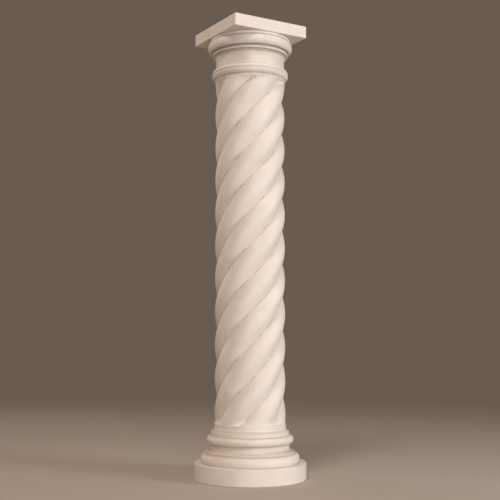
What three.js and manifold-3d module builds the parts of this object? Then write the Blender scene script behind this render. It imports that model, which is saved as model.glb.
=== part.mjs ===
// Spiral column in cast stone: a round plinth, a moulded base, a shaft of six twisted strands
// and a moulded capital with a square abacus. Millimetres, +Z up, origin under the middle.
import * as THREE from 'three';
import Module from 'manifold-3d';
import { mergeVertices } from 'three/addons/utils/BufferGeometryUtils.js';

// Heights of the four blocks, from the ground up
const PLINTH_TOP = 86;
const BASE_TOP = 227;
const SHAFT_TOP = 2172;
const TOTAL_HEIGHT = 2400;

// Plinth
const PLINTH_RADIUS = 295;
const PLINTH_EASED_EDGE = 4;

// Base: each moulding is named by its widest or narrowest radius
const LOWER_TORUS_RADIUS = 260;
const LOWER_TORUS_TOP = 136;
const LOWER_TORUS_WIDEST = 106;
const LOWER_TORUS_PROJECTION = 27;
const BASE_FILLET_RADIUS = 235;
const BASE_FILLET_TOP = 145;
const SCOTIA_RADIUS = 206;
const SCOTIA_WAIST = 167;
const SCOTIA_TOP = 183;
const SCOTIA_LIP_RADIUS = 228;
const SCOTIA_UPPER_LIP_RADIUS = 211;
const UPPER_TORUS_RADIUS = 228;
const UPPER_TORUS_PROJECTION = 22;

// Shaft: foot fillet and flare
const FOOT_FILLET_RADIUS = 205;
const FOOT_FILLET_TOP = 247;
const FLARE_RADIUS = 203;
const FLARE_TOP = 268;
const PLAIN_RADIUS = 188.5;

// Shaft: the strands are round lobes set about the axis
const STRANDS = 6;
const STRAND_RADIUS = 91.5;
const STRAND_OFFSET = 95;
const LEAD = 1054;
const SPIRAL_FOOT = 285;
const SPIRAL_HEAD = 2105;
const GROOVE_RUN_OUT = 45;
const RUN_OUT_SLICES = [0, 0.1, 0.35, 1];
const GROOVE_BEARING = -121;
const GROOVE_BEARING_HEIGHT = 162;
const SIDES_PER_STRAND = 6;
const TURN_PER_SLICE = 14;

// Shaft: astragal
const ASTRAGAL_FOOT = 2118;
const ASTRAGAL_RADIUS = 206;
const NECKING_RADIUS = 185;

// Capital
const NECKING_TOP = 2215;
const CAVETTO_RADIUS = 199;
const NECK_FILLET_FOOT = 2248;
const NECK_FILLET_RADIUS = 204;
const NECK_FILLET_TOP = 2266;
const ECHINUS_FOOT_RADIUS = 206;
const ECHINUS_WIDEST = 2297;
const ECHINUS_RADIUS = 228;
const ECHINUS_UPPER_RISE = 27;
const ECHINUS_TOP = 2316;
const TOP_FILLET_RADIUS = 219;
const QUIRK_RADIUS = 217;
const QUIRK_HEIGHT = 2;
const ABACUS_FOOT = 2336;
const ABACUS_SIDE = 441;
const ABACUS_EASED_EDGE = 3;

const LATHE_SIDES = 48;
const ARC_STEPS = 7;
const SHORT_ARC_STEPS = 4;

const stone = new THREE.MeshStandardMaterial({ color: 0xe4d8ca, roughness: 0.72, metalness: 0 });

// Points of an elliptical arc in the profile plane, angles in degrees from straight out
function arc(centreRadius, centreHeight, projection, rise, from, to, steps) {
  const points = [];
  for (let i = 0; i <= steps; i += 1) {
    const angle = THREE.MathUtils.degToRad(THREE.MathUtils.lerp(from, to, i / steps));
    const radius = centreRadius + projection * Math.cos(angle);
    points.push(new THREE.Vector2(radius, centreHeight + rise * Math.sin(angle)));
  }
  return points;
}

// A turned block: the outline runs up the outside and is closed on the axis at both ends
function turned(outline) {
  const foot = new THREE.Vector2(0, outline[0].y);
  const head = new THREE.Vector2(0, outline[outline.length - 1].y);
  const geometry = new THREE.LatheGeometry([foot, ...outline, head], LATHE_SIDES);
  geometry.rotateX(Math.PI / 2);
  return geometry;
}

function point(radius, height) {
  return new THREE.Vector2(radius, height);
}

function piece(name, geometry) {
  const mesh = new THREE.Mesh(geometry, stone);
  mesh.name = name;
  return mesh;
}

function plinthGeometry() {
  const inner = PLINTH_RADIUS - PLINTH_EASED_EDGE;
  return turned([
    point(PLINTH_RADIUS, 0),
    point(PLINTH_RADIUS, PLINTH_TOP - PLINTH_EASED_EDGE),
    point(inner, PLINTH_TOP),
  ]);
}

// A bulging moulding, cut off flat at its foot where that lies above the full half round
function torus(foot, head, widestHeight, widestRadius, projection) {
  const rise = head - widestHeight;
  const footAngle = -THREE.MathUtils.radToDeg(Math.asin((widestHeight - foot) / rise));
  return arc(widestRadius - projection, widestHeight, projection, rise, footAngle, 90, ARC_STEPS);
}

// A hollow moulding: a lower and an upper quarter round that meet at the narrowest radius
function scotia() {
  const lowerDepth = SCOTIA_LIP_RADIUS - SCOTIA_RADIUS;
  const upperDepth = SCOTIA_UPPER_LIP_RADIUS - SCOTIA_RADIUS;
  const lowerRise = SCOTIA_WAIST - BASE_FILLET_TOP;
  const upperRise = SCOTIA_TOP - SCOTIA_WAIST;
  const lower = arc(SCOTIA_LIP_RADIUS, SCOTIA_WAIST, lowerDepth, lowerRise, 270, 180, SHORT_ARC_STEPS);
  const upper = arc(SCOTIA_UPPER_LIP_RADIUS, SCOTIA_WAIST, upperDepth, upperRise, 180, 90, SHORT_ARC_STEPS);
  return [...lower, ...upper.slice(1)];
}

function baseGeometry() {
  const upperTorusWidest = (SCOTIA_TOP + BASE_TOP) / 2;
  return turned([
    ...torus(PLINTH_TOP, LOWER_TORUS_TOP, LOWER_TORUS_WIDEST, LOWER_TORUS_RADIUS, LOWER_TORUS_PROJECTION),
    point(BASE_FILLET_RADIUS, LOWER_TORUS_TOP),
    point(BASE_FILLET_RADIUS, BASE_FILLET_TOP),
    ...scotia(),
    ...torus(SCOTIA_TOP, BASE_TOP, upperTorusWidest, UPPER_TORUS_RADIUS, UPPER_TORUS_PROJECTION),
  ]);
}

// Radius of the six-lobed section, measured from a groove, in radians
function lobedRadius(angle) {
  const share = (2 * Math.PI) / STRANDS;
  const fromCrest = angle - share * Math.floor(angle / share) - share / 2;
  const across = STRAND_OFFSET * Math.sin(fromCrest);
  return STRAND_OFFSET * Math.cos(fromCrest) + Math.sqrt(STRAND_RADIUS ** 2 - across ** 2);
}

// How much of the full groove is cut at a height: a round run-out at both ends
function grooveShare(height) {
  const fromEnd = Math.min(height - SPIRAL_FOOT, SPIRAL_HEAD - height);
  const left = THREE.MathUtils.clamp(1 - fromEnd / GROOVE_RUN_OUT, 0, 1);
  return Math.sqrt(1 - left ** 2);
}

// Heights of the slices of the spiral, closer together where the grooves run out
function spiralHeights() {
  const runOut = RUN_OUT_SLICES.map((share) => share * GROOVE_RUN_OUT);
  const lower = SPIRAL_FOOT + GROOVE_RUN_OUT;
  const upper = SPIRAL_HEAD - GROOVE_RUN_OUT;
  const slices = Math.round(((upper - lower) * 360) / (LEAD * TURN_PER_SLICE));
  const middle = Array.from({ length: slices - 1 }, (_, i) => lower + ((upper - lower) * (i + 1)) / slices);
  return [
    ...runOut.map((rise) => SPIRAL_FOOT + rise),
    ...middle,
    ...runOut.toReversed().map((rise) => SPIRAL_HEAD - rise),
  ];
}

// A closed body from rings of points that lie one above the other
function stackOfRings(rings) {
  const sides = rings[0].length;
  const top = rings.length - 1;
  const footCentre = rings.length * sides;
  const positions = rings.flat(2);
  positions.push(0, 0, rings[0][0][2], 0, 0, rings[top][0][2]);
  const triangles = [];
  for (let side = 0; side < sides; side += 1) {
    const next = (side + 1) % sides;
    triangles.push(footCentre, next, side);
    triangles.push(footCentre + 1, top * sides + side, top * sides + next);
    for (let ring = 0; ring < top; ring += 1) {
      const low = ring * sides;
      const high = low + sides;
      triangles.push(low + side, low + next, high + side);
      triangles.push(low + next, high + next, high + side);
    }
  }
  const geometry = new THREE.BufferGeometry();
  geometry.setAttribute('position', new THREE.Float32BufferAttribute(positions, 3));
  geometry.setIndex(triangles);
  geometry.computeVertexNormals();
  return geometry;
}

function shaftGeometry() {
  const sides = STRANDS * SIDES_PER_STRAND;
  const ring = (height, radiusAt) => {
    const climb = THREE.MathUtils.clamp(height, SPIRAL_FOOT, SPIRAL_HEAD) - GROOVE_BEARING_HEIGHT;
    const start = THREE.MathUtils.degToRad(GROOVE_BEARING) + (2 * Math.PI * climb) / LEAD;
    return Array.from({ length: sides }, (_, side) => {
      const angle = (2 * Math.PI * side) / sides;
      const radius = radiusAt(angle);
      return [radius * Math.cos(start + angle), radius * Math.sin(start + angle), height];
    });
  };
  const flareWidth = FLARE_RADIUS - PLAIN_RADIUS;
  const flareRise = FLARE_TOP - FOOT_FILLET_TOP;
  const foot = [
    point(FOOT_FILLET_RADIUS, BASE_TOP),
    point(FOOT_FILLET_RADIUS, FOOT_FILLET_TOP),
    ...arc(FLARE_RADIUS, FLARE_TOP, flareWidth, flareRise, 270, 180, SHORT_ARC_STEPS),
  ];
  const astragalMiddle = (ASTRAGAL_FOOT + SHAFT_TOP) / 2;
  const astragalRise = (SHAFT_TOP - ASTRAGAL_FOOT) / 2;
  const astragal = ASTRAGAL_RADIUS - NECKING_RADIUS;
  const head = [
    point(PLAIN_RADIUS, ASTRAGAL_FOOT),
    ...arc(NECKING_RADIUS, astragalMiddle, astragal, astragalRise, -70, 90, ARC_STEPS),
  ];
  const round = (p) => ring(p.y, () => p.x);
  const twisted = spiralHeights().map((height) => {
    const share = grooveShare(height);
    return ring(height, (angle) => THREE.MathUtils.lerp(PLAIN_RADIUS, lobedRadius(angle), share));
  });
  return stackOfRings([...foot.map(round), ...twisted, ...head.map(round)]);
}

function abacusGeometry() {
  const half = ABACUS_SIDE / 2;
  const inner = half - ABACUS_EASED_EDGE;
  const outline = new THREE.Shape([
    point(-inner, -half),
    point(inner, -half),
    point(half, -inner),
    point(half, inner),
    point(inner, half),
    point(-inner, half),
    point(-half, inner),
    point(-half, -inner),
  ]);
  const depth = TOTAL_HEIGHT - ABACUS_FOOT;
  const geometry = new THREE.ExtrudeGeometry(outline, { depth, bevelEnabled: false });
  geometry.translate(0, 0, ABACUS_FOOT);
  return geometry;
}

function cappedNeckGeometry() {
  const cavetto = CAVETTO_RADIUS - NECKING_RADIUS;
  const cavettoRise = NECK_FILLET_FOOT - NECKING_TOP;
  const echinus = ECHINUS_RADIUS - ECHINUS_FOOT_RADIUS;
  const lowerRise = ECHINUS_WIDEST - NECK_FILLET_TOP;
  const upperRise = ECHINUS_TOP - ECHINUS_WIDEST;
  const upperEnd = THREE.MathUtils.radToDeg(Math.asin(upperRise / ECHINUS_UPPER_RISE));
  const insideAbacus = (ABACUS_FOOT + TOTAL_HEIGHT) / 2;
  return turned([
    point(NECKING_RADIUS, SHAFT_TOP),
    ...arc(CAVETTO_RADIUS, NECKING_TOP, cavetto, cavettoRise, 180, 90, SHORT_ARC_STEPS),
    point(NECK_FILLET_RADIUS, NECK_FILLET_FOOT),
    point(NECK_FILLET_RADIUS, NECK_FILLET_TOP),
    ...arc(ECHINUS_FOOT_RADIUS, ECHINUS_WIDEST, echinus, lowerRise, -90, 0, SHORT_ARC_STEPS),
    ...arc(ECHINUS_FOOT_RADIUS, ECHINUS_WIDEST, echinus, ECHINUS_UPPER_RISE, upperEnd / 2, upperEnd, 1),
    point(QUIRK_RADIUS, ECHINUS_TOP + QUIRK_HEIGHT / 2),
    point(TOP_FILLET_RADIUS, ECHINUS_TOP + QUIRK_HEIGHT),
    point(TOP_FILLET_RADIUS, insideAbacus),
  ]);
}

// Joins two closed bodies into one
async function joined(first, second) {
  const wasm = await Module();
  wasm.setup();
  const solid = (geometry) => {
    const bare = geometry.clone();
    bare.deleteAttribute('normal');
    bare.deleteAttribute('uv');
    const merged = mergeVertices(bare, 1e-3);
    const index = merged.index.array;
    const corners = [];
    for (let i = 0; i < index.length; i += 3) {
      const [a, b, c] = index.slice(i, i + 3);
      if (a !== b && b !== c && c !== a) {
        corners.push(a, b, c);
      }
    }
    const vertProperties = new Float32Array(merged.attributes.position.array);
    const triVerts = new Uint32Array(corners);
    return new wasm.Manifold(new wasm.Mesh({ numProp: 3, vertProperties, triVerts }));
  };
  const mesh = solid(first).add(solid(second)).getMesh();
  const geometry = new THREE.BufferGeometry();
  geometry.setAttribute('position', new THREE.BufferAttribute(mesh.vertProperties, mesh.numProp));
  geometry.setIndex(new THREE.BufferAttribute(mesh.triVerts, 1));
  geometry.computeVertexNormals();
  return geometry;
}

const column = new THREE.Group();
column.add(piece('plinth', plinthGeometry()));
column.add(piece('base', baseGeometry()));
column.add(piece('shaft', shaftGeometry()));
column.add(piece('capital', await joined(cappedNeckGeometry(), abacusGeometry())));

export default column;
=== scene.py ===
# %% [markdown]
# # A spiral column in cast stone
# The column is four blocks set one on the other: a round plinth, a moulded base, a shaft of six
# twisted strands, and a capital with a square abacus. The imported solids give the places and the
# overall sizes. This lesson makes the fine surface of each block and its pale stone finish.
# Every length is in metres, and Z points up from the middle of the plinth's underside.

# %% Load the solids and keep their box
import math

import bmesh
import bpy
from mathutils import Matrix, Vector


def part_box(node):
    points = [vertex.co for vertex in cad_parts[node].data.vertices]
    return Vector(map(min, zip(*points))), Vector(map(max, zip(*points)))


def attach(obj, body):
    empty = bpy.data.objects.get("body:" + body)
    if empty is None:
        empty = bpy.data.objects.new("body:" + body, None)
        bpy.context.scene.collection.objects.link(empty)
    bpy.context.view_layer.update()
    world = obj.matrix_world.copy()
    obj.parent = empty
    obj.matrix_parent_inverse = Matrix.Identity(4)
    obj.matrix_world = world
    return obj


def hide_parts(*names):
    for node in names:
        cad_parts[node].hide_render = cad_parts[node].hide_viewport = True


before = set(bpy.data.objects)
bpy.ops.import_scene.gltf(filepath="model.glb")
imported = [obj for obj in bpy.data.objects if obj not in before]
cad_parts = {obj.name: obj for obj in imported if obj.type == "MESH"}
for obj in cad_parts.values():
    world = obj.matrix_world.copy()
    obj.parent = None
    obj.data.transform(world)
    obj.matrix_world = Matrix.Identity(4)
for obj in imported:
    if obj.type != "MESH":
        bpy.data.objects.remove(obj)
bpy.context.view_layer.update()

# %% [markdown]
# ## Where the blocks meet
# The beds between the blocks are level, so each block's height can be read from the box of its solid.
# Reading them keeps the fine blocks in contact however the solids are changed.

# %% Read the beds from the solids
plinth_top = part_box("plinth")[1][2]
base_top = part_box("base")[1][2]
shaft_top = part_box("shaft")[1][2]
column_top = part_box("capital")[1][2]
plinth_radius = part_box("plinth")[1][0]
print("beds at", [round(v, 3) for v in (plinth_top, base_top, shaft_top, column_top)])

# %% [markdown]
# ## The camera
# The picture was taken from a little under a third of the column's height, looking slightly up, so
# the plinth is seen from above and the capital from below. A lens of moderate length keeps that mild
# perspective. The camera is tilted rather than shifted, which frames the column well from any side.

# %% Place the camera
CAMERA_AZIMUTH = math.radians(-31.05)
CAMERA_DISTANCE = 4.941
CAMERA_HEIGHT = 0.757
CAMERA_TILT = math.radians(5.12)
CAMERA_LENS = 66.79

towards_camera = Vector((math.sin(CAMERA_AZIMUTH), -math.cos(CAMERA_AZIMUTH), 0))
camera_right = Vector((math.cos(CAMERA_AZIMUTH), math.sin(CAMERA_AZIMUTH), 0))
camera = bpy.data.objects.new("camera", bpy.data.cameras.new("camera"))
camera.data.sensor_width = 36
camera.data.lens = CAMERA_LENS
camera.location = towards_camera * CAMERA_DISTANCE + Vector((0, 0, CAMERA_HEIGHT))
camera.rotation_euler = (math.pi / 2 + CAMERA_TILT, 0, CAMERA_AZIMUTH)
bpy.context.scene.collection.objects.link(camera)
bpy.context.scene.camera = camera
print("camera at", [round(v, 3) for v in camera.location])

# %% [markdown]
# ## Profiles
# A mason cuts every moulding to a zinc template, the profile. A template is made of a few named forms:
# half rounds, hollows and flat fillets, with each sharp corner eased by a millimetre or two so that it
# doesn't chip. Here a profile is a list of points (radius, height), with round stretches worked out as
# arcs. The same few helpers then draw every block.

# %% Helpers that draw a profile
ARRIS = 0.0022
ARRIS_STEPS = 3
CORNER_TURN = math.radians(32)


def at(radius, height):
    return Vector((radius, height))


def arc(centre, projection, rise, start, end, steps):
    """Points of an elliptical arc, with angles in degrees measured from straight out."""
    points = []
    for step in range(steps + 1):
        angle = math.radians(start + (end - start) * step / steps)
        points.append(centre + Vector((projection * math.cos(angle), rise * math.sin(angle))))
    return points


def fillet(radius, foot, head):
    """A flat band, or the floor of a sunk line."""
    return [at(radius, foot), at(radius, head)]


def half_round(foot, head, widest_height, widest_radius, projection, steps=24):
    """A torus. Its foot is cut off flat where the bed below lies above the full half round."""
    rise = head - widest_height
    start = -math.degrees(math.asin(min(1, (widest_height - foot) / rise)))
    return arc(at(widest_radius - projection, widest_height), projection, rise, start, 90, steps)


def eased(outline, reach=ARRIS):
    """Rounds each corner of a profile by a short curve."""
    rounded = [outline[0]]
    for before, corner, after in zip(outline, outline[1:], outline[2:]):
        into = corner - before
        out = after - corner
        if into.length < 1e-6 or out.length < 1e-6:
            continue
        if into.angle(out) < CORNER_TURN:
            rounded.append(corner)
            continue
        start = corner - into.normalized() * min(reach, into.length / 2.5)
        end = corner + out.normalized() * min(reach, out.length / 2.5)
        for step in range(ARRIS_STEPS + 1):
            t = step / ARRIS_STEPS
            rounded.append(start * (1 - t) ** 2 + corner * 2 * t * (1 - t) + end * t ** 2)
    rounded.append(outline[-1])
    return rounded


print("an eased corner reaches", ARRIS * 1000, "mm")

# %% [markdown]
# ## The plinth and the base
# The plinth is a plain round slab. The base above it is the old Attic order of mouldings: a large
# torus, a fillet, a hollow scotia and a smaller torus. The numbers are the widest or narrowest radius
# of each member and the height at which the next one begins.

# %% Profiles of the plinth and the base
PLINTH_EDGE = 0.004
LOWER_TORUS_RADIUS = 0.260
LOWER_TORUS_WIDEST = 0.106
LOWER_TORUS_TOP = 0.136
LOWER_TORUS_PROJECTION = 0.027
BASE_FILLET_RADIUS = 0.235
BASE_FILLET_TOP = 0.145
SCOTIA_RADIUS = 0.206
SCOTIA_WAIST = 0.167
SCOTIA_TOP = 0.183
SCOTIA_LOWER_LIP = 0.228
SCOTIA_UPPER_LIP = 0.211
UPPER_TORUS_RADIUS = 0.228
UPPER_TORUS_PROJECTION = 0.022


def plinth_profile():
    slab = [at(0, 0), at(plinth_radius, 0), at(plinth_radius, plinth_top), at(0, plinth_top)]
    return eased(slab, PLINTH_EDGE)


def base_profile():
    upper_widest = (SCOTIA_TOP + base_top) / 2
    lower_hollow = SCOTIA_LOWER_LIP - SCOTIA_RADIUS
    upper_hollow = SCOTIA_UPPER_LIP - SCOTIA_RADIUS
    lower_torus = half_round(
        plinth_top, LOWER_TORUS_TOP, LOWER_TORUS_WIDEST, LOWER_TORUS_RADIUS, LOWER_TORUS_PROJECTION
    )
    upper_torus = half_round(
        SCOTIA_TOP, base_top, upper_widest, UPPER_TORUS_RADIUS, UPPER_TORUS_PROJECTION
    )
    band = fillet(BASE_FILLET_RADIUS, LOWER_TORUS_TOP, BASE_FILLET_TOP)
    lower_rise = SCOTIA_WAIST - BASE_FILLET_TOP
    upper_rise = SCOTIA_TOP - SCOTIA_WAIST
    scotia = arc(at(SCOTIA_LOWER_LIP, SCOTIA_WAIST), lower_hollow, lower_rise, 270, 180, steps=12)
    scotia += arc(at(SCOTIA_UPPER_LIP, SCOTIA_WAIST), upper_hollow, upper_rise, 180, 90, steps=8)[1:]
    return eased([at(0, plinth_top), *lower_torus, *band, *scotia, *upper_torus, at(0, base_top)])


print("plinth profile", len(plinth_profile()), "points, base profile", len(base_profile()), "points")

# %% [markdown]
# ## The shaft's profile
# The shaft starts with a fillet and a small flare, has a plain collar, then the twisted strands, and
# ends in an astragal, a rounded ring with a line cut along it. The strands themselves are not in the
# profile. Each profile point carries a share instead, from 0 to 1, that says how deep the grooves are
# cut at that height. The share falls to nothing along a quarter circle at both ends, as a round-nosed
# tool leaves it.

# %% Profile of the shaft, with the share of the groove
FOOT_FILLET_RADIUS = 0.205
FOOT_FILLET_TOP = 0.247
FLARE_RADIUS = 0.203
FLARE_TOP = 0.268
PLAIN_RADIUS = 0.1885
SPIRAL_FOOT = 0.285
SPIRAL_HEAD = 2.105
RUN_OUT = 0.045
RUN_OUT_STEPS = 14
SPIRAL_STEP = 0.008
ASTRAGAL_FOOT = 2.118
ASTRAGAL_RADIUS = 0.206
ASTRAGAL_LINE = 2.147
LINE_WIDTH = 0.009
LINE_DEPTH = 0.007
NECKING_RADIUS = 0.185


def groove_share(height):
    from_end = min(height - SPIRAL_FOOT, SPIRAL_HEAD - height)
    left = min(1, max(0, 1 - from_end / RUN_OUT))
    return math.sqrt(1 - left ** 2)


def spiral_heights():
    """Even steps along the shaft, crowded together where the grooves run out."""
    ends = [RUN_OUT * (1 - math.cos(math.pi / 2 * i / RUN_OUT_STEPS)) for i in range(RUN_OUT_STEPS)]
    middle_foot = SPIRAL_FOOT + RUN_OUT
    middle = SPIRAL_HEAD - RUN_OUT - middle_foot
    count = round(middle / SPIRAL_STEP)
    heights = [SPIRAL_FOOT + rise for rise in ends]
    heights += [middle_foot + middle * i / count for i in range(count + 1)]
    return heights + [SPIRAL_HEAD - rise for rise in reversed(ends)]


def astragal_profile():
    middle = (ASTRAGAL_FOOT + shaft_top) / 2
    rise = (shaft_top - ASTRAGAL_FOOT) / 2
    ring = arc(at(NECKING_RADIUS, middle), ASTRAGAL_RADIUS - NECKING_RADIUS, rise, -76, 90, steps=60)
    cut = []
    for point in ring:
        across = abs(point.y - ASTRAGAL_LINE) / (LINE_WIDTH / 2)
        cut.append(at(point.x - LINE_DEPTH * max(0, 1 - across), point.y))
    return cut


def shaft_profile():
    reach = FLARE_RADIUS - PLAIN_RADIUS
    rise = FLARE_TOP - FOOT_FILLET_TOP
    foot = fillet(FOOT_FILLET_RADIUS, base_top, FOOT_FILLET_TOP)
    foot += arc(at(FLARE_RADIUS, FLARE_TOP), reach, rise, 270, 180, steps=10)
    strands = [at(PLAIN_RADIUS, height) for height in spiral_heights()]
    collar = at(PLAIN_RADIUS, ASTRAGAL_FOOT)
    return eased([at(0, base_top), *foot, *strands, collar, *astragal_profile(), at(0, shaft_top)])


print("shaft profile", len(shaft_profile()), "points,", len(spiral_heights()), "of them on the strands")

# %% [markdown]
# ## The capital's profile
# Above the astragal come a plain necking that hollows out to a fillet, the round echinus that swells
# to carry the weight, and a thin fillet under the abacus. Narrow sunk lines set these members apart and
# show as dark rings from below. The turned part runs on a little way into the abacus, so that the two
# can be joined into one block.

# %% Profile of the capital's turned part
NECKING_TOP = 2.215
CAVETTO_RADIUS = 0.199
NECK_FILLET_FOOT = 2.248
NECK_FILLET_RADIUS = 0.204
NECK_FILLET_TOP = 2.266
ECHINUS_FOOT_RADIUS = 0.206
ECHINUS_WIDEST = 2.297
ECHINUS_RADIUS = 0.228
ECHINUS_UPPER_RISE = 0.027
ECHINUS_TOP = 2.316
TOP_FILLET_RADIUS = 0.219
SUNK_LINE = 0.004
SUNK_DEPTH = 0.007
ABACUS_FOOT = 2.336
ABACUS_OVERLAP = 0.02


def capital_profile():
    cavetto_rise = NECK_FILLET_FOOT - SUNK_LINE - NECKING_TOP
    cavetto_reach = CAVETTO_RADIUS - NECKING_RADIUS
    echinus_reach = ECHINUS_RADIUS - ECHINUS_FOOT_RADIUS
    swell = at(ECHINUS_FOOT_RADIUS, ECHINUS_WIDEST)
    upper_end = math.degrees(math.asin((ECHINUS_TOP - ECHINUS_WIDEST) / ECHINUS_UPPER_RISE))
    turned_top = ABACUS_FOOT + ABACUS_OVERLAP
    outline = [at(0, shaft_top), at(NECKING_RADIUS, shaft_top)]
    outline += arc(at(CAVETTO_RADIUS, NECKING_TOP), cavetto_reach, cavetto_rise, 180, 90, steps=12)
    outline += fillet(CAVETTO_RADIUS - SUNK_DEPTH, NECK_FILLET_FOOT - SUNK_LINE, NECK_FILLET_FOOT)
    outline += fillet(NECK_FILLET_RADIUS, NECK_FILLET_FOOT, NECK_FILLET_TOP - SUNK_LINE)
    outline += fillet(NECK_FILLET_RADIUS - SUNK_DEPTH, NECK_FILLET_TOP - SUNK_LINE, NECK_FILLET_TOP)
    outline += arc(swell, echinus_reach, ECHINUS_WIDEST - NECK_FILLET_TOP, -90, 0, steps=14)
    outline += arc(swell, echinus_reach, ECHINUS_UPPER_RISE, 0, upper_end, steps=6)[1:]
    outline += fillet(TOP_FILLET_RADIUS - SUNK_DEPTH, ECHINUS_TOP, ECHINUS_TOP + SUNK_LINE)
    outline += fillet(TOP_FILLET_RADIUS, ECHINUS_TOP + SUNK_LINE, ABACUS_FOOT - SUNK_LINE)
    outline += fillet(TOP_FILLET_RADIUS - SUNK_DEPTH, ABACUS_FOOT - SUNK_LINE, turned_top)
    return eased([*outline, at(0, turned_top)])


print("capital profile", len(capital_profile()), "points")

# %% [markdown]
# ## One tree of Geometry Nodes that turns and twists
# A lathe and a twist follow a rule, so Geometry Nodes can make them. The tree takes a profile as a row
# of loose points and lays a grid over it: one column for each side, one row for each profile point.
# Each grid corner then moves to its place round the axis. Where the profile's share of the groove is
# above nothing, the radius goes from the plain one towards a section of round lobes, one per strand,
# and every row is turned a little further than the one below. Because the columns turn with the
# strands, a line of corners lies exactly in each groove and keeps it crisp. With a twist of nothing,
# the same tree is a plain lathe.

# %% Build the tree
turning = bpy.data.node_groups.new("turn_and_twist", "GeometryNodeTree")
turning.is_modifier = True
turning_sockets = {}
for name, kind in (
    ("Profile", "NodeSocketGeometry"),
    ("Sides", "NodeSocketInt"),
    ("Strands", "NodeSocketInt"),
    ("Strand Radius", "NodeSocketFloat"),
    ("Strand Offset", "NodeSocketFloat"),
    ("Dust and Shade Depth", "NodeSocketFloat"),
    ("Turns per Metre", "NodeSocketFloat"),
    ("Bearing", "NodeSocketFloat"),
    ("Bearing Height", "NodeSocketFloat"),
    ("Finish", "NodeSocketMaterial"),
):
    socket = turning.interface.new_socket(name, in_out="INPUT", socket_type=kind)
    turning_sockets[name] = socket.identifier
turning.interface.new_socket("Block", in_out="OUTPUT", socket_type="NodeSocketGeometry")


def add_node(tree, kind, values=None, **settings):
    """Adds a node, sets its options, and sets or links its inputs by name or number."""
    node = tree.nodes.new(kind)
    for name, value in settings.items():
        setattr(node, name, value)
    for key, value in (values or {}).items():
        socket = node.inputs[key]
        if isinstance(value, bpy.types.NodeSocket):
            tree.links.new(value, socket)
        else:
            socket.default_value = value
    return node


def calc(tree, operation, *values):
    return add_node(tree, "ShaderNodeMath", dict(enumerate(values)), operation=operation).outputs[0]


print("the tree takes", ", ".join(turning_sockets))

# %% [markdown]
# The first half of the tree finds, for every grid corner, its angle round the axis and the profile
# point of its row. A profile point keeps its radius in X, its share of the groove in Y and its height
# in Z, so one sample fetches all three. A second sample fetches its recess.

# %% Rows, columns and the sampled profile
given = add_node(turning, "NodeGroupInput").outputs
profile_size = {"Geometry": given["Profile"]}
rows = add_node(turning, "GeometryNodeAttributeDomainSize", profile_size, component="MESH")
row_count = rows.outputs["Point Count"]
columns = calc(turning, "ADD", given["Sides"], 1)
grid = add_node(
    turning,
    "GeometryNodeMeshGrid",
    {"Size X": 1.0, "Size Y": 1.0, "Vertices X": columns, "Vertices Y": row_count},
)
place = add_node(turning, "GeometryNodeInputPosition").outputs[0]
on_grid = add_node(turning, "ShaderNodeSeparateXYZ", {0: place}).outputs
last_row = calc(turning, "SUBTRACT", row_count, 1)
up_the_grid = calc(turning, "ADD", on_grid[1], 0.5)
round_the_grid = calc(turning, "ADD", on_grid[0], 0.5)
row = calc(turning, "ROUND", calc(turning, "MULTIPLY", up_the_grid, last_row))
section_angle = calc(turning, "MULTIPLY", round_the_grid, 2 * math.pi)


def sampled(value, kind):
    values = {"Geometry": given["Profile"], "Value": value, "Index": row}
    return add_node(turning, "GeometryNodeSampleIndex", values, data_type=kind, domain="POINT").outputs[0]


profile_point = add_node(turning, "ShaderNodeSeparateXYZ", {0: sampled(place, "FLOAT_VECTOR")}).outputs
plain_radius, share, height = profile_point[0], profile_point[1], profile_point[2]
named_recess = add_node(turning, "GeometryNodeInputNamedAttribute", {"Name": "recess"}, data_type="FLOAT")
recess = sampled(named_recess.outputs[0], "FLOAT")
print("rows and columns come from", len(turning.nodes), "nodes")

# %% [markdown]
# The second half works out the lobed section. A strand is a circle set off from the axis, so the
# distance to its far side along a ray is found as for any circle. How deep a corner lies in a groove or
# a recess, as a share of the depth that takes the full dust and painted shade, is kept as an attribute,
# hollow, which the finish uses later.

# %% The lobed section, the twist and the finished block
strand_angle = calc(turning, "DIVIDE", 2 * math.pi, given["Strands"])
half_strand = calc(turning, "DIVIDE", strand_angle, 2)
from_groove = calc(turning, "FLOORED_MODULO", section_angle, strand_angle)
from_crest = calc(turning, "SUBTRACT", from_groove, half_strand)
along = calc(turning, "MULTIPLY", given["Strand Offset"], calc(turning, "COSINE", from_crest))
across = calc(turning, "MULTIPLY", given["Strand Offset"], calc(turning, "SINE", from_crest))
radius_squared = calc(turning, "POWER", given["Strand Radius"], 2)
reach_squared = calc(turning, "SUBTRACT", radius_squared, calc(turning, "POWER", across, 2))
lobed_radius = calc(turning, "ADD", along, calc(turning, "SQRT", reach_squared))
cut = calc(turning, "MULTIPLY", calc(turning, "SUBTRACT", plain_radius, lobed_radius), share)
radius = calc(turning, "SUBTRACT", plain_radius, cut)
# hollow sets how much dust and painted shade the finish puts on each corner.
hollow = calc(turning, "MAXIMUM", calc(turning, "DIVIDE", cut, given["Dust and Shade Depth"]), recess)
climb = calc(turning, "SUBTRACT", height, given["Bearing Height"])
turns = calc(turning, "MULTIPLY", climb, given["Turns per Metre"])
twist = calc(turning, "MULTIPLY", turns, 2 * math.pi)
angle = calc(turning, "ADD", calc(turning, "ADD", section_angle, given["Bearing"]), twist)
x = calc(turning, "MULTIPLY", radius, calc(turning, "COSINE", angle))
y = calc(turning, "MULTIPLY", radius, calc(turning, "SINE", angle))
corner = add_node(turning, "ShaderNodeCombineXYZ", {0: x, 1: y, 2: height}).outputs[0]
kept = add_node(
    turning,
    "GeometryNodeStoreNamedAttribute",
    {"Geometry": grid.outputs["Mesh"], "Name": "hollow", "Value": hollow},
    data_type="FLOAT",
    domain="POINT",
)
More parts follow.
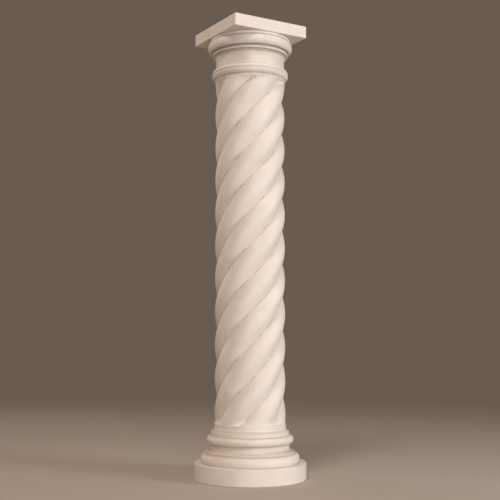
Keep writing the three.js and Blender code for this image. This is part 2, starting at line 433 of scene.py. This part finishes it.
moved = add_node(turning, "GeometryNodeSetPosition", {"Geometry": kept.outputs[0], "Position": corner})
welded = add_node(turning, "GeometryNodeMergeByDistance", {"Geometry": moved.outputs[0], "Distance": 1e-5})
smooth = add_node(turning, "GeometryNodeSetShadeSmooth", {"Geometry": welded.outputs[0]})
real = add_node(turning, "GeometryNodeRealizeInstances", {"Geometry": smooth.outputs[0]})
dress = {"Geometry": real.outputs[0], "Material": given["Finish"]}
dressed = add_node(turning, "GeometryNodeSetMaterial", dress)
add_node(turning, "NodeGroupOutput", {0: dressed.outputs[0]})
print("the whole tree has", len(turning.nodes), "nodes and", len(turning.links), "links")

# %% [markdown]
# ## Shared effects of the finish
# Cast stone is a pale mortar with a fine sand in it. It is never one flat colour: soft clouds run
# between cream and a faint blush where the mix was wetter, sand grains give a slight tooth, a few air
# bubbles leave pinholes, and a darker tone in the hollows paints dust and shade together. Each effect
# is one shader node group, made once and placed in every block's material with that block's own
# values.

# %% Group for the soft clouds of colour
def shader_group(name, inputs, outputs):
    group = bpy.data.node_groups.new(name, "ShaderNodeTree")
    for socket_name, kind in inputs:
        group.interface.new_socket(socket_name, in_out="INPUT", socket_type="NodeSocket" + kind)
    for socket_name, kind in outputs:
        group.interface.new_socket(socket_name, in_out="OUTPUT", socket_type="NodeSocket" + kind)
    return group, group.nodes.new("NodeGroupInput").outputs, group.nodes.new("NodeGroupOutput").inputs


def noise(tree, vector, scale, seed, detail=3.0, roughness=0.5):
    values = {"Vector": vector, "W": seed, "Scale": scale, "Detail": detail, "Roughness": roughness}
    return add_node(tree, "ShaderNodeTexNoise", values, noise_dimensions="4D").outputs[0]


def remap(tree, value, low, high, to_low=0.0, to_high=1.0, curve="LINEAR"):
    values = {"Value": value, "From Min": low, "From Max": high, "To Min": to_low, "To Max": to_high}
    return add_node(tree, "ShaderNodeMapRange", values, interpolation_type=curve).outputs[0]


def blend_colours(tree, factor, first, second):
    return add_node(tree, "ShaderNodeMix", {0: factor, 6: first, 7: second}, data_type="RGBA").outputs[2]


CLOUD_RANGE = (0.34, 0.66)
BLUSH_RANGE = (0.46, 0.72)
BLUSH_STRENGTH = 0.85
BLUSH_SEED_STEP = 7.3
BLUSH_FINENESS = 1.7

clouds_group, clouds_in, clouds_out = shader_group(
    "stone_clouds",
    [
        ("Vector", "Vector"),
        ("Scale", "Float"),
        ("Seed", "Float"),
        ("Ground", "Color"),
        ("Pale", "Color"),
        ("Blush", "Color"),
    ],
    [("Color", "Color"), ("Clouds", "Float")],
)
cloud_place, cloud_scale, cloud_seed = clouds_in["Vector"], clouds_in["Scale"], clouds_in["Seed"]
blush_seed = calc(clouds_group, "ADD", cloud_seed, BLUSH_SEED_STEP)
blush_scale = calc(clouds_group, "MULTIPLY", cloud_scale, BLUSH_FINENESS)
broad = noise(clouds_group, cloud_place, cloud_scale, cloud_seed, detail=4.0, roughness=0.6)
patches = noise(clouds_group, cloud_place, blush_scale, blush_seed, detail=3.0, roughness=0.55)
clouds = remap(clouds_group, broad, *CLOUD_RANGE)
blush = remap(clouds_group, patches, *BLUSH_RANGE, to_high=BLUSH_STRENGTH)
creamy = blend_colours(clouds_group, clouds, clouds_in["Ground"], clouds_in["Pale"])
blushed = blend_colours(clouds_group, blush, creamy, clouds_in["Blush"])
clouds_group.links.new(blushed, clouds_out["Color"])
clouds_group.links.new(clouds, clouds_out["Clouds"])
print("clouds group has", len(clouds_group.nodes), "nodes")

# %% [markdown]
# The grain has two sizes: the tooth of the sand over a slow swell, which only roughens the light, and
# sparse pinholes left by air in the mould. Pinholes are dark and sunk, so they leave the group both as
# a height for the bump and as a mask for the colour.

# %% Group for the sand grain and the pinholes
SWELL_TO_GRAIN = 14.0
TOOTH_HEIGHT = 0.35
PINHOLE_RIM = (0.05, 0.11)
PINHOLE_RARITY = 0.72

grain_group, grain_in, grain_out = shader_group(
    "stone_grain",
    [("Vector", "Vector"), ("Grain Scale", "Float"), ("Pinhole Scale", "Float"), ("Seed", "Float")],
    [("Height", "Float"), ("Pinholes", "Float")],
)
grain_place, grain_scale, grain_seed = grain_in["Vector"], grain_in["Grain Scale"], grain_in["Seed"]
swell_scale = calc(grain_group, "DIVIDE", grain_scale, SWELL_TO_GRAIN)
tooth = noise(grain_group, grain_place, grain_scale, grain_seed, detail=4.0, roughness=0.65)
swell = noise(grain_group, grain_place, swell_scale, grain_seed, detail=2.0, roughness=0.5)
cells = add_node(
    grain_group,
    "ShaderNodeTexVoronoi",
    {"Vector": grain_place, "W": grain_seed, "Scale": grain_in["Pinhole Scale"]},
    voronoi_dimensions="4D",
)
near_centre = remap(grain_group, cells.outputs["Distance"], *PINHOLE_RIM, to_low=1.0, to_high=0.0)
cell_draw = add_node(grain_group, "ShaderNodeSeparateColor", {0: cells.outputs["Color"]}).outputs[0]
chosen_cell = calc(grain_group, "GREATER_THAN", cell_draw, PINHOLE_RARITY)
pinholes = calc(grain_group, "MULTIPLY", near_centre, chosen_cell)
surface = calc(grain_group, "ADD", calc(grain_group, "MULTIPLY", tooth, TOOTH_HEIGHT), swell)
grain_group.links.new(calc(grain_group, "SUBTRACT", surface, pinholes), grain_out["Height"])
grain_group.links.new(pinholes, grain_out["Pinholes"])
print("grain group has", len(grain_group.nodes), "nodes")

# %% [markdown]
# A casting is rubbed down by hand, and the rubbing follows the form: along the strands on the shaft,
# round and round on the turned blocks. The group first untwists the coordinates about Z and then
# stretches them, so that a plain noise becomes streaks that run the right way.

# %% Group for the streaks of rubbing
STREAK_RANGE = (0.3, 0.7)

streak_group, streak_in, streak_out = shader_group(
    "rubbing_streaks",
    [("Vector", "Vector"), ("Turns per Metre", "Float"), ("Stretch", "Vector"), ("Seed", "Float")],
    [("Streaks", "Float")],
)
streak_height = add_node(streak_group, "ShaderNodeSeparateXYZ", {0: streak_in["Vector"]}).outputs[2]
streak_turns = calc(streak_group, "MULTIPLY", streak_height, streak_in["Turns per Metre"])
untwist = calc(streak_group, "MULTIPLY", streak_turns, -2 * math.pi)
straight = add_node(
    streak_group,
    "ShaderNodeVectorRotate",
    {"Vector": streak_in["Vector"], "Angle": untwist},
    rotation_type="Z_AXIS",
)
drawn_out = add_node(
    streak_group,
    "ShaderNodeVectorMath",
    {0: straight.outputs[0], 1: streak_in["Stretch"]},
    operation="MULTIPLY",
)
streaks = noise(streak_group, drawn_out.outputs[0], 1.0, streak_in["Seed"], detail=3.0, roughness=0.55)
streak_group.links.new(remap(streak_group, streaks, *STREAK_RANGE), streak_out["Streaks"])
print("streak group has", len(streak_group.nodes), "nodes")

# %% [markdown]
# A warmer, darker tone in the grooves and under the mouldings is painted shade and dust together. The
# mask starts from the hollow attribute that the tree stored on each block, and a noise breaks its edge,
# so the darkening never ends on a clean line. On the shaft a darker colour is painted here and there
# at the very bottom of a groove, as grit and painted shade, which draws a faint broken line. It keeps
# to a narrow range of hollow: the bottom of a groove lies in it, and the deeper lines of the mouldings
# lie past it.

# %% Group for the dust and painted shade in the hollows
# These values shape the mask that darkens the hollows with dust and painted shade.
DUST_AND_SHADE_STARTS = 0.65
DUST_AND_SHADE_FULL = 1.10
DUST_AND_SHADE_EDGE = 0.18
DUST_AND_SHADE_EDGE_SCALE = 16.0
DUST_AND_SHADE_EDGE_RANGE = (0.3, 0.7)
DUST_AND_SHADE_SEED = 2.0
# These values place grit and painted shade along the bottom of the grooves.
GRIT_AND_SHADE_STARTS = 0.66
GRIT_AND_SHADE_FULL = 0.76
GRIT_AND_SHADE_ENDS = 0.80
GRIT_AND_SHADE_SCALE = 30.0
GRIT_AND_SHADE_RANGE = (0.53, 0.62)
GRIT_AND_SHADE_SEED = 5.0

dust_and_shade_group, dust_and_shade_in, dust_and_shade_out = shader_group(
    "hollow_dust_and_shade",
    [
        ("Color", "Color"),
        ("Dust and Shade Color", "Color"),
        ("Grit and Shade Color", "Color"),
        ("Vector", "Vector"),
        ("Dust and Shade Amount", "Float"),
        ("Grit and Shade Amount", "Float"),
    ],
    [("Color", "Color"), ("Dust and Shade", "Float")],
)
stored = add_node(dust_and_shade_group, "ShaderNodeAttribute", attribute_name="hollow").outputs["Fac"]
dust_and_shade_place = dust_and_shade_in["Vector"]
edge_noise = noise(dust_and_shade_group, dust_and_shade_place, DUST_AND_SHADE_EDGE_SCALE, DUST_AND_SHADE_SEED, detail=5.0, roughness=0.62)
ragged = remap(dust_and_shade_group, edge_noise, *DUST_AND_SHADE_EDGE_RANGE, to_low=-DUST_AND_SHADE_EDGE, to_high=DUST_AND_SHADE_EDGE)
dust_and_shade_mask = remap(dust_and_shade_group, calc(dust_and_shade_group, "ADD", stored, ragged), DUST_AND_SHADE_STARTS, DUST_AND_SHADE_FULL)
settled_dust_and_shade = calc(dust_and_shade_group, "MULTIPLY", dust_and_shade_mask, dust_and_shade_in["Dust and Shade Amount"])
# Here the hollows are darkened with dust and painted shade.
dusty_and_shaded = blend_colours(dust_and_shade_group, settled_dust_and_shade, dust_and_shade_in["Color"], dust_and_shade_in["Dust and Shade Color"])
# Here a broken dark line of grit and painted shade is drawn at the groove bottoms.
grit_and_shade_noise = noise(dust_and_shade_group, dust_and_shade_place, GRIT_AND_SHADE_SCALE, GRIT_AND_SHADE_SEED, detail=4.0, roughness=0.6)
lodged_grit_and_shade = remap(dust_and_shade_group, grit_and_shade_noise, *GRIT_AND_SHADE_RANGE)
near_bottom = remap(dust_and_shade_group, stored, GRIT_AND_SHADE_STARTS, GRIT_AND_SHADE_FULL)
at_bottom = calc(dust_and_shade_group, "MULTIPLY", near_bottom, calc(dust_and_shade_group, "LESS_THAN", stored, GRIT_AND_SHADE_ENDS))
grit_and_shade_mask = calc(dust_and_shade_group, "MULTIPLY", lodged_grit_and_shade, at_bottom)
grit_and_shade = calc(dust_and_shade_group, "MULTIPLY", grit_and_shade_mask, dust_and_shade_in["Grit and Shade Amount"])
dust_and_shade_group.links.new(blend_colours(dust_and_shade_group, grit_and_shade, dusty_and_shaded, dust_and_shade_in["Grit and Shade Color"]), dust_and_shade_out["Color"])
dust_and_shade_group.links.new(settled_dust_and_shade, dust_and_shade_out["Dust and Shade"])
print("dust group has", len(dust_and_shade_group.nodes), "nodes")

# %% [markdown]
# ## The stone of each block
# The four blocks look as if cast from the same mix, one after the other, so their materials share the
# groups and the shader and differ a little in cloud size, rubbing, and dust with painted shade. The
# stone is satin rather than chalky: it has been rubbed smooth, and the paler clouds, where the paste is
# denser, are smoother still. The shaft's streaks turn with its strands, which climb once round in a
# little over a metre.

# %% Make the four stone materials
STONE_GROUND = (0.680, 0.606, 0.548, 1)
STONE_PALE = (0.785, 0.722, 0.676, 1)
STONE_BLUSH = (0.768, 0.658, 0.616, 1)
STONE_RUBBED = (0.800, 0.728, 0.676, 1)
PINHOLE_COLOUR = (0.300, 0.225, 0.170, 1)
# This colour darkens the hollows as dust and painted shade together.
DUST_AND_SHADE_COLOUR = (0.500, 0.420, 0.355, 1)
# This colour draws the dark broken line at the groove bottoms as grit and painted shade.
GRIT_AND_SHADE_COLOUR = (0.330, 0.262, 0.205, 1)
GRAIN_SCALE = 420.0
PINHOLE_SCALE = 34.0
DULL_ROUGHNESS = 0.62
SATIN_ROUGHNESS = 0.50
DUST_ROUGHENS = 0.2
RELIEF_STRENGTH = 0.35
RELIEF_HEIGHT = 0.0006
STREAK_RELIEF = 2.0
STONE_SPECULAR = 0.4


def placed(tree, group, values):
    """Places a shader node group in a material and returns its outputs."""
    return add_node(tree, "ShaderNodeGroup", values, node_tree=group).outputs


def stone(
    name, seed, cloud_scale, stretch, rubbing_amount, dust_and_shade_amount, grit_and_shade_amount=0.0, turns_per_metre=0.0
):
    material = bpy.data.materials.new(name)
    material.use_nodes = True
    tree = material.node_tree
    shader = tree.nodes["Principled BSDF"]
    place = add_node(tree, "ShaderNodeTexCoord").outputs["Object"]
    tone = placed(tree, clouds_group, {
        "Vector": place, "Scale": cloud_scale, "Seed": seed,
        "Ground": STONE_GROUND, "Pale": STONE_PALE, "Blush": STONE_BLUSH,
    })
    grain = placed(tree, grain_group, {
        "Vector": place, "Grain Scale": GRAIN_SCALE, "Pinhole Scale": PINHOLE_SCALE, "Seed": seed,
    })
    rubbing = placed(tree, streak_group, {
        "Vector": place, "Turns per Metre": turns_per_metre, "Stretch": stretch, "Seed": seed,
    })
    rubbed_share = calc(tree, "MULTIPLY", rubbing["Streaks"], rubbing_amount)
    rubbed = blend_colours(tree, rubbed_share, tone["Color"], STONE_RUBBED)
    # The hollows get their dust and painted shade from this group.
    dust_and_shade = placed(tree, dust_and_shade_group, {
        "Color": rubbed, "Dust and Shade Color": DUST_AND_SHADE_COLOUR, "Grit and Shade Color": GRIT_AND_SHADE_COLOUR,
        "Vector": place, "Dust and Shade Amount": dust_and_shade_amount, "Grit and Shade Amount": grit_and_shade_amount,
    })
    pitted = blend_colours(tree, grain["Pinholes"], dust_and_shade["Color"], PINHOLE_COLOUR)
    smoothness = remap(tree, tone["Clouds"], 0.0, 1.0, DULL_ROUGHNESS, SATIN_ROUGHNESS)
    roughness = calc(tree, "ADD", smoothness, calc(tree, "MULTIPLY", dust_and_shade["Dust and Shade"], DUST_ROUGHENS))
    streak_height = calc(tree, "MULTIPLY", rubbing["Streaks"], STREAK_RELIEF * rubbing_amount)
    relief = {
        "Strength": RELIEF_STRENGTH,
        "Distance": RELIEF_HEIGHT,
        "Height": calc(tree, "ADD", grain["Height"], streak_height),
    }
    bump = add_node(tree, "ShaderNodeBump", relief)
    tree.links.new(pitted, shader.inputs["Base Color"])
    tree.links.new(roughness, shader.inputs["Roughness"])
    tree.links.new(bump.outputs[0], shader.inputs["Normal"])
    shader.inputs["Specular IOR Level"].default_value = STONE_SPECULAR
    return material


SPIRAL_LEAD = 1.054
ROUND_AND_ROUND = (9.0, 9.0, 60.0)
ALONG_THE_STRANDS = (60.0, 60.0, 4.0)

# Each block's dust amount sets its dust and painted shade, and the shaft's grit amount its grit and painted
# shade.
plinth_stone = stone(
    "plinth_stone", seed=1.0, cloud_scale=7.0, stretch=ROUND_AND_ROUND, rubbing_amount=0.4, dust_and_shade_amount=0.3
)
base_stone = stone(
    "base_stone", seed=2.0, cloud_scale=9.0, stretch=ROUND_AND_ROUND, rubbing_amount=0.5, dust_and_shade_amount=0.5
)
shaft_stone = stone(
    "shaft_stone",
    seed=3.0,
    cloud_scale=8.0,
    stretch=ALONG_THE_STRANDS,
    rubbing_amount=0.6,
    dust_and_shade_amount=0.55,
    grit_and_shade_amount=0.45,
    turns_per_metre=1 / SPIRAL_LEAD,
)
capital_stone = stone(
    "capital_stone", seed=4.0, cloud_scale=11.0, stretch=ROUND_AND_ROUND, rubbing_amount=0.3, dust_and_shade_amount=0.9
)
print("stones:", ", ".join(m.name for m in (plinth_stone, base_stone, shaft_stone, capital_stone)))

# %% [markdown]
# ## From a profile to a block
# A profile becomes a row of loose points for the tree. Its recess tells how far each point lies inside
# the widest point close by, which is where dust and painted shade go. The evaluated result is taken as
# a plain mesh.
# Then edges that turn by more than forty degrees are marked sharp, and weighted normals keep the flat
# faces flat where they meet the eased corners.

# %% Helpers that make a block
RECESS_WINDOW = 0.009
FULL_RECESS = 0.008
SHARP_ANGLE = math.radians(40)
TURNED_SIDES = 192


def recesses(outline):
    depths = []
    for point in outline:
        near = [other.x for other in outline if abs(other.y - point.y) < RECESS_WINDOW]
        depths.append((max(near) - point.x) / FULL_RECESS if point.x > 0 else 0)
    return depths


def plain_mesh(block):
    """Puts the evaluated shape in place of the modifiers."""
    depsgraph = bpy.context.evaluated_depsgraph_get()
    shape = block.evaluated_get(depsgraph)
    mesh = bpy.data.meshes.new_from_object(shape, preserve_all_data_layers=True, depsgraph=depsgraph)
    block.modifiers.clear()
    block.data = mesh
    mesh.name = block.name


def finish_normals(block):
    block.data.set_sharp_from_angle(angle=SHARP_ANGLE)
    block.modifiers.new("weighted normals", "WEIGHTED_NORMAL").keep_sharp = True
    plain_mesh(block)


def turned_block(name, outline, finish, **sizes):
    mesh = bpy.data.meshes.new(name)
    mesh.from_pydata([(point.x, groove_share(point.y), point.y) for point in outline], [], [])
    mesh.attributes.new("recess", "FLOAT", "POINT").data.foreach_set("value", recesses(outline))
    block = bpy.data.objects.new(name, mesh)
    bpy.context.scene.collection.objects.link(block)
    modifier = block.modifiers.new("turn and twist", "NODES")
    modifier.node_group = turning
    plain = {"Sides": TURNED_SIDES, "Finish": finish, "Dust and Shade Depth": 1.0}
    plain |= {"Strands": 1, "Strand Radius": 1.0, "Strand Offset": 0.0}
    plain |= {"Turns per Metre": 0.0, "Bearing": 0.0, "Bearing Height": 0.0}
    for key, value in {**plain, **sizes}.items():
        modifier[turning_sockets[key]] = value
    plain_mesh(block)
    return block


def volume(block):
    shape = bmesh.new()
    shape.from_mesh(block.data)
    litres = shape.calc_volume(signed=True) * 1000
    open_edges = sum(not edge.is_manifold for edge in shape.edges)
    shape.free()
    return f"{block.name}: {len(block.data.polygons)} faces, {litres:.2f} litres, {open_edges} open edges"


print("turned blocks have", TURNED_SIDES, "sides")

# %% [markdown]
# ## Turn the plinth, the base and the shaft
# The plinth and the base are plain turned work. The shaft has six strands that climb once round in a
# little over a metre. The bearing says where one groove crosses a known height, read from the picture,
# so that the strands pass the front as they do there. The open grooves take their full dust and painted
# shade only at a third more depth than they have.

# %% Make the three turned blocks
STRANDS = 6
SIDES_PER_STRAND = 24
STRAND_RADIUS = 0.0915
STRAND_OFFSET = 0.095
GROOVE_BEARING = math.radians(-121)
GROOVE_BEARING_HEIGHT = 0.162
# The grooves' depth times this gives the depth of full dust and painted shade.
GROOVE_TO_DUST_AND_SHADE = 1.3

half_strand_angle = math.pi / STRANDS
groove_across = STRAND_OFFSET * math.sin(half_strand_angle)
groove_along = STRAND_OFFSET * math.cos(half_strand_angle)
groove_radius = groove_along + math.sqrt(STRAND_RADIUS ** 2 - groove_across ** 2)

plinth = turned_block("plinth_slab", plinth_profile(), plinth_stone)
base = turned_block("base_mouldings", base_profile(), base_stone)
shaft = turned_block(
    "spiral_shaft",
    shaft_profile(),
    shaft_stone,
    **{
        "Sides": STRANDS * SIDES_PER_STRAND,
        "Strands": STRANDS,
        "Strand Radius": STRAND_RADIUS,
        "Strand Offset": STRAND_OFFSET,
        "Dust and Shade Depth": GROOVE_TO_DUST_AND_SHADE * (PLAIN_RADIUS - groove_radius),
        "Turns per Metre": 1 / SPIRAL_LEAD,
        "Bearing": GROOVE_BEARING,
        "Bearing Height": GROOVE_BEARING_HEIGHT,
    },
)
for block in (plinth, base, shaft):
    finish_normals(block)
    print(volume(block))

# %% [markdown]
# ## The capital
# The capital was cast in one with its abacus, so its mesh is one closed skin. The turned part comes
# from the same tree, the abacus is a box with eased edges, and an exact Boolean union joins them. The
# square abacus has no hollows, so its corners are set to a hollow of nothing and take no dust or
# painted shade.

# %% Make the capital
ABACUS_SIDE = 0.441
ABACUS_EDGE = 0.003

capital = turned_block("moulded_capital", capital_profile(), capital_stone)
abacus = bpy.data.objects.new("abacus", bpy.data.meshes.new("abacus"))
bpy.context.scene.collection.objects.link(abacus)
shape = bmesh.new()
bmesh.ops.create_cube(shape, size=1)
abacus_height = column_top - ABACUS_FOOT
for vertex in shape.verts:
    vertex.co.x *= ABACUS_SIDE
    vertex.co.y *= ABACUS_SIDE
    vertex.co.z = vertex.co.z * abacus_height + ABACUS_FOOT + abacus_height / 2
bmesh.ops.bevel(shape, geom=shape.edges[:], offset=ABACUS_EDGE, segments=3, profile=0.5, affect="EDGES")
for face in shape.faces:
    face.smooth = True
shape.to_mesh(abacus.data)
shape.free()
abacus.data.materials.append(capital_stone)
union = capital.modifiers.new("abacus", "BOOLEAN")
union.operation = "UNION"
union.solver = "EXACT"
union.object = abacus
plain_mesh(capital)
bpy.data.objects.remove(abacus)
# The abacus takes no dust or painted shade.
hollows = capital.data.attributes["hollow"].data
for vertex in capital.data.vertices:
    if vertex.co.z > ABACUS_FOOT - SUNK_LINE / 2:
        hollows[vertex.index].value = 0
finish_normals(capital)
print(volume(capital))

# %% [markdown]
# ## Tie the blocks to the solids
# Each block stands for one of the four solids and rides on the column's single body.

# %% Replace the solids
for block, node in ((plinth, "plinth"), (base, "base"), (shaft, "shaft"), (capital, "capital")):
    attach(block, "root")
    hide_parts(node)
print("four blocks ride on the column's body")

# %% [markdown]
# ## The floor
# The column stands on a plain pale floor. It is a wide disc that fades out towards its rim, so no hard
# edge cuts across the picture from any side.

# %% Make the floor
FLOOR_RADIUS = 7.0
FLOOR_FADE = 0.8
FLOOR_COLOUR = (0.50, 0.44, 0.39, 1)
FLOOR_ROUGHNESS = 0.9
FLOOR_SPECULAR = 0.1

floor = bpy.data.objects.new("floor", bpy.data.meshes.new("floor"))
bpy.context.scene.collection.objects.link(floor)
shape = bmesh.new()
bmesh.ops.create_circle(shape, cap_ends=True, radius=FLOOR_RADIUS, segments=128)
shape.to_mesh(floor.data)
shape.free()
floor_finish = bpy.data.materials.new("pale_floor")
floor_finish.use_nodes = True
tree = floor_finish.node_tree
place = add_node(tree, "ShaderNodeTexCoord").outputs["Object"]
from_middle = add_node(tree, "ShaderNodeVectorMath", {0: place}, operation="LENGTH").outputs["Value"]
shader = tree.nodes["Principled BSDF"]
fade = remap(tree, from_middle, FLOOR_FADE, FLOOR_RADIUS, to_low=1.0, to_high=0.0, curve="SMOOTHSTEP")
tree.links.new(fade, shader.inputs["Alpha"])
shader.inputs["Base Color"].default_value = FLOOR_COLOUR
shader.inputs["Roughness"].default_value = FLOOR_ROUGHNESS
shader.inputs["Specular IOR Level"].default_value = FLOOR_SPECULAR
floor.data.materials.append(floor_finish)
print("floor", 2 * FLOOR_RADIUS, "m across")

# %% [markdown]
# ## Soft studio light
# The main soft box stands level on the right and keeps that side of the shaft almost even, and a weaker
# one in front opens the undersides of the mouldings. A warm box high up in front lights the upper flank
# of each strand, so the strands turn dark towards the groove below them. A wide, weak box behind on the
# left lightens that edge and lets the back be seen. The room itself is a warm grey.

# %% Place the lights
ROOM_COLOUR = (0.140, 0.104, 0.080, 1)


def soft_box(name, to_right, towards, height, size, power, colour, aim=1.2):
    light = bpy.data.objects.new(name, bpy.data.lights.new(name, "AREA"))
    light.data.shape = "DISK"
    light.data.size = size
    light.data.energy = power
    light.data.color = colour
    light.location = camera_right * to_right + towards_camera * towards + Vector((0, 0, height))
    light.rotation_euler = (Vector((0, 0, aim)) - light.location).to_track_quat("-Z", "Y").to_euler()
    light.visible_camera = False
    bpy.context.scene.collection.objects.link(light)
    return light


key = soft_box(
    "key_soft_box", to_right=6.1, towards=3.2, height=1.8, size=2.6, power=265, colour=(0.95, 0.99, 1.0)
)
front = soft_box(
    "front_soft_box", to_right=0.6, towards=7.0, height=1.3, size=2.8, power=165, colour=(1.0, 0.94, 0.87)
)
high = soft_box(
    "warm_high_box", to_right=-1.3, towards=4.4, height=8.4, size=3.0, power=335, colour=(1.0, 0.85, 0.71)
)
back = soft_box(
    "back_soft_box", to_right=-5.6, towards=-4.2, height=2.6, size=4.0, power=95, colour=(1.0, 0.89, 0.78)
)
world = bpy.data.worlds.new("warm_grey_room")
world.use_nodes = True
world.node_tree.nodes["Background"].inputs["Color"].default_value = ROOM_COLOUR
bpy.context.scene.world = world
bpy.context.scene.view_settings.view_transform = "Standard"
print("lights:", ", ".join(f"{lamp.name} {lamp.data.energy:.0f} W" for lamp in (key, front, high, back)))
